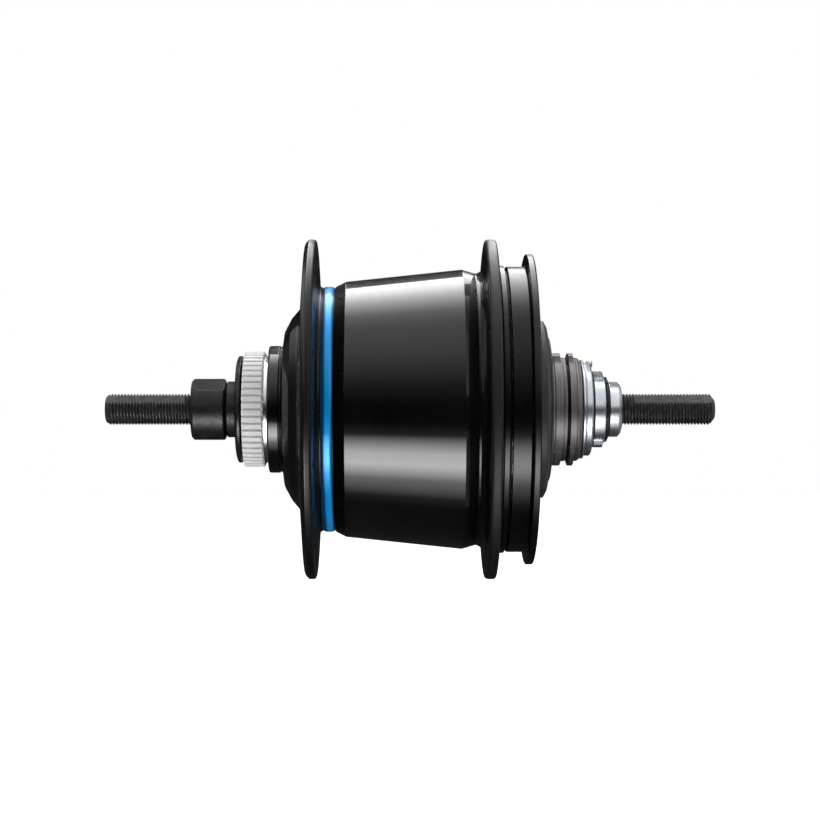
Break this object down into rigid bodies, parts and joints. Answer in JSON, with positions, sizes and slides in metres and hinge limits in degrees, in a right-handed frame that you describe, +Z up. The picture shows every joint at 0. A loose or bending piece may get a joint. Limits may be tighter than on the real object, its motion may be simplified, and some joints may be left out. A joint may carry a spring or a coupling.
{
  "type": "bicycle hub gear",
  "caption": "Geared rear bicycle hub with spoke flanges, a splined brake rotor seat, a sprocket driver, a turning shift sleeve and a threaded axle.",
  "frame": {"origin": "middle of the axle, on its axis", "axes": "+X along the axle towards the drive side, +Z up, the picture looks along +Y"},
  "size_m": [0.187, 0.1042, 0.1042],
  "materials": {
    "shell_black": "gloss black coating over aluminium",
    "satin_black": "satin black",
    "seal_black": "satin black pressed plate",
    "phosphate_steel": "grey-black phosphate",
    "bright_alloy": "bright turned metal",
    "blue_metal": "bright metallic blue",
    "driver_steel": "brown-grey turned steel",
    "zinc_plate": "bluish bright zinc",
    "gear_steel": "machined and hardened steel",
    "bearing_steel": "ground steel"
  },
  "bodies": {
    "axle_assembly": {"axle": "phosphate_steel", "left_locknut": "satin_black", "left_cone": "satin_black", "left_dust_cap": "satin_black", "output_sun_gear": "gear_steel", "input_sun_gear": "gear_steel", "output_sun_pawl_1": "gear_steel", "output_sun_pawl_2": "gear_steel", "input_sun_pawl_1": "gear_steel", "input_sun_pawl_2": "gear_steel", "thrust_washer": "gear_steel", "right_cone": "gear_steel", "spring_plate": "zinc_plate", "return_spring": "gear_steel", "lock_washer": "satin_black", "right_locknut": "zinc_plate"},
    "shift_sleeve": {"shift_sleeve": "zinc_plate"},
    "left_balls": {"left_ball_retainer": "bearing_steel"},
    "shell_balls": {"shell_ball_retainer": "bearing_steel"},
    "driver_balls": {"driver_ball_retainer": "bearing_steel"},
    "hub_shell": {"hub_shell": "shell_black", "trim_ring": "blue_metal", "rotor_mount": "bright_alloy", "left_ball_cup": "bearing_steel", "right_ball_cup": "bearing_steel", "right_dust_cap": "shell_black", "roller_clutch": "bearing_steel", "output_ring_gear": "gear_steel"},
    "driver": {"driver": "driver_steel", "outer_seal_plate": "seal_black", "inner_seal_plate": "seal_black", "input_ring_gear": "gear_steel"},
    "planet_carrier": {"planet_carrier": "gear_steel", "planet_pin_1": "bearing_steel", "planet_pin_2": "bearing_steel", "planet_pin_3": "bearing_steel"},
    "free_sun_gear": {"free_sun_gear": "gear_steel"},
    "stepped_planet_1": {"stepped_planet_1": "gear_steel"},
    "input_planet_1": {"input_planet_1": "gear_steel"},
    "stepped_planet_2": {"stepped_planet_2": "gear_steel"},
    "input_planet_2": {"input_planet_2": "gear_steel"},
    "stepped_planet_3": {"stepped_planet_3": "gear_steel"},
    "input_planet_3": {"input_planet_3": "gear_steel"}
  },
  "joints": [
    {"name": "hub_shell_spin", "type": "hinge", "parent": "axle_assembly", "child": "hub_shell", "pos_m": [0, 0, 0], "axis": [1, 0, 0], "continuous": true},
    {"name": "driver_spin", "type": "hinge", "parent": "axle_assembly", "child": "driver", "pos_m": [0, 0, 0], "axis": [1, 0, 0], "continuous": true},
    {"name": "carrier_spin", "type": "hinge", "parent": "axle_assembly", "child": "planet_carrier", "pos_m": [0, 0, 0], "axis": [1, 0, 0], "continuous": true},
    {"name": "free_sun_spin", "type": "hinge", "parent": "axle_assembly", "child": "free_sun_gear", "pos_m": [0, 0, 0], "axis": [1, 0, 0], "continuous": true},
    {"name": "left_balls_spin", "type": "hinge", "parent": "axle_assembly", "child": "left_balls", "pos_m": [0, 0, 0], "axis": [1, 0, 0], "continuous": true},
    {"name": "shell_balls_spin", "type": "hinge", "parent": "axle_assembly", "child": "shell_balls", "pos_m": [0, 0, 0], "axis": [1, 0, 0], "continuous": true},
    {"name": "driver_balls_spin", "type": "hinge", "parent": "axle_assembly", "child": "driver_balls", "pos_m": [0, 0, 0], "axis": [1, 0, 0], "continuous": true},
    {"name": "stepped_planet_1_spin", "type": "hinge", "parent": "planet_carrier", "child": "stepped_planet_1", "pos_m": [0, 0, 0.021], "axis": [1, 0, 0], "continuous": true},
    {"name": "input_planet_1_spin", "type": "hinge", "parent": "planet_carrier", "child": "input_planet_1", "pos_m": [0, 0, 0.021], "axis": [1, 0, 0], "continuous": true},
    {"name": "stepped_planet_2_spin", "type": "hinge", "parent": "planet_carrier", "child": "stepped_planet_2", "pos_m": [0, -0.01819, -0.0105], "axis": [1, 0, 0], "continuous": true},
    {"name": "input_planet_2_spin", "type": "hinge", "parent": "planet_carrier", "child": "input_planet_2", "pos_m": [0, -0.01819, -0.0105], "axis": [1, 0, 0], "continuous": true},
    {"name": "stepped_planet_3_spin", "type": "hinge", "parent": "planet_carrier", "child": "stepped_planet_3", "pos_m": [0, 0.01819, -0.0105], "axis": [1, 0, 0], "continuous": true},
    {"name": "input_planet_3_spin", "type": "hinge", "parent": "planet_carrier", "child": "input_planet_3", "pos_m": [0, 0.01819, -0.0105], "axis": [1, 0, 0], "continuous": true},
    {"name": "shift_sleeve_turn", "type": "hinge", "parent": "axle_assembly", "child": "shift_sleeve", "pos_m": [0, 0, 0], "axis": [1, 0, 0], "range_deg": [0, 100], "stiffness_Nm_per_rad": 0.02, "springref_deg": -11.46}
  ],
  "couplings": [
    {"joint": "driver_spin", "follows": "hub_shell_spin", "ratio": 1.05},
    {"joint": "carrier_spin", "follows": "hub_shell_spin", "ratio": 0.7},
    {"joint": "free_sun_spin", "follows": "hub_shell_spin", "ratio": 0.25},
    {"joint": "left_balls_spin", "follows": "hub_shell_spin", "ratio": 0.6},
    {"joint": "shell_balls_spin", "follows": "hub_shell_spin", "ratio": 1.02},
    {"joint": "driver_balls_spin", "follows": "hub_shell_spin", "ratio": 0.62},
    {"joint": "stepped_planet_1_spin", "follows": "hub_shell_spin", "ratio": 1.05},
    {"joint": "input_planet_1_spin", "follows": "hub_shell_spin", "ratio": 1.4},
    {"joint": "stepped_planet_2_spin", "follows": "hub_shell_spin", "ratio": 1.05},
    {"joint": "input_planet_2_spin", "follows": "hub_shell_spin", "ratio": 1.4},
    {"joint": "stepped_planet_3_spin", "follows": "hub_shell_spin", "ratio": 1.05},
    {"joint": "input_planet_3_spin", "follows": "hub_shell_spin", "ratio": 1.4}
  ]
}
